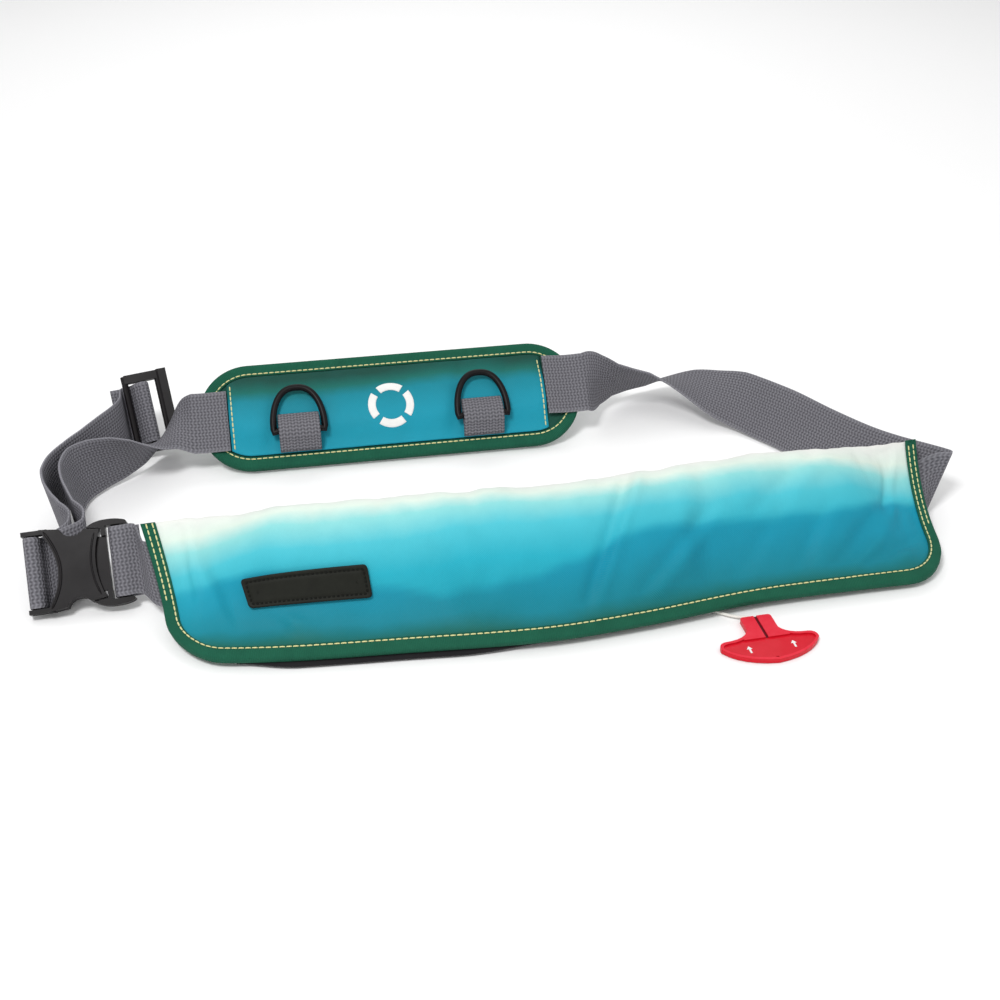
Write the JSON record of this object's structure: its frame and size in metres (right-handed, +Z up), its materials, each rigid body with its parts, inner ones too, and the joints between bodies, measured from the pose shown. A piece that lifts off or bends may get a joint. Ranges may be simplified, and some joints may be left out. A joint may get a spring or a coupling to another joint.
{
  "type": "inflatable belt pack",
  "caption": "Belt pack that holds a folded air cell: dyed pouch, padded back rest with D-rings, grey webbing belt, side release buckle and a red pull tab on a cord.",
  "frame": {"origin": "middle of the footprint on the surface the pack lies on, measured without the pull cord and its tab", "axes": "+X along the pouch towards the end with the folded strap, +Y from the pouch towards the back pad, +Z up"},
  "size_m": [0.5236, 0.2929, 0.0604],
  "materials": {
    "teal_dyed": "dyed nylon, satin",
    "black_cloth": "woven, matt",
    "green_tape": "woven binding tape, matt",
    "grey_webbing": "woven polyester webbing",
    "black_plastic": "moulded, satin",
    "red_plastic": "moulded, satin",
    "white_cord": "braided cord",
    "pad_core": "cloth over foam",
    "cell_film": "coated nylon",
    "label_rubber": "moulded rubber, matt"
  },
  "bodies": {
    "pack": {"pad_base": "pad_core", "pad_binding": "green_tape", "pad_front_panel": "teal_dyed", "ring_loop_left": "grey_webbing", "ring_loop_right": "grey_webbing", "buckle_socket": "black_plastic", "buckle_plug": "black_plastic", "slider": "black_plastic", "pouch_cover": "teal_dyed", "pouch_back_panel": "black_cloth", "pouch_binding": "green_tape", "air_cell": "cell_film", "label_patch": "label_rubber", "plug_webbing": "grey_webbing", "belt_left": "grey_webbing", "belt_right": "grey_webbing", "pull_cord": "white_cord", "pull_tab": "red_plastic"},
    "ring_left": {"d_ring_left": "black_plastic"},
    "ring_right": {"d_ring_right": "black_plastic"}
  },
  "joints": [
    {"name": "ring_left_swing", "type": "hinge", "parent": "pack", "child": "ring_left", "pos_m": [-0.1096, 0.07265, 0.02553], "axis": [1, 0, 0], "range_deg": [0, 150]},
    {"name": "ring_right_swing", "type": "hinge", "parent": "pack", "child": "ring_right", "pos_m": [0.0034, 0.07265, 0.02553], "axis": [1, 0, 0], "range_deg": [0, 150]}
  ]
}
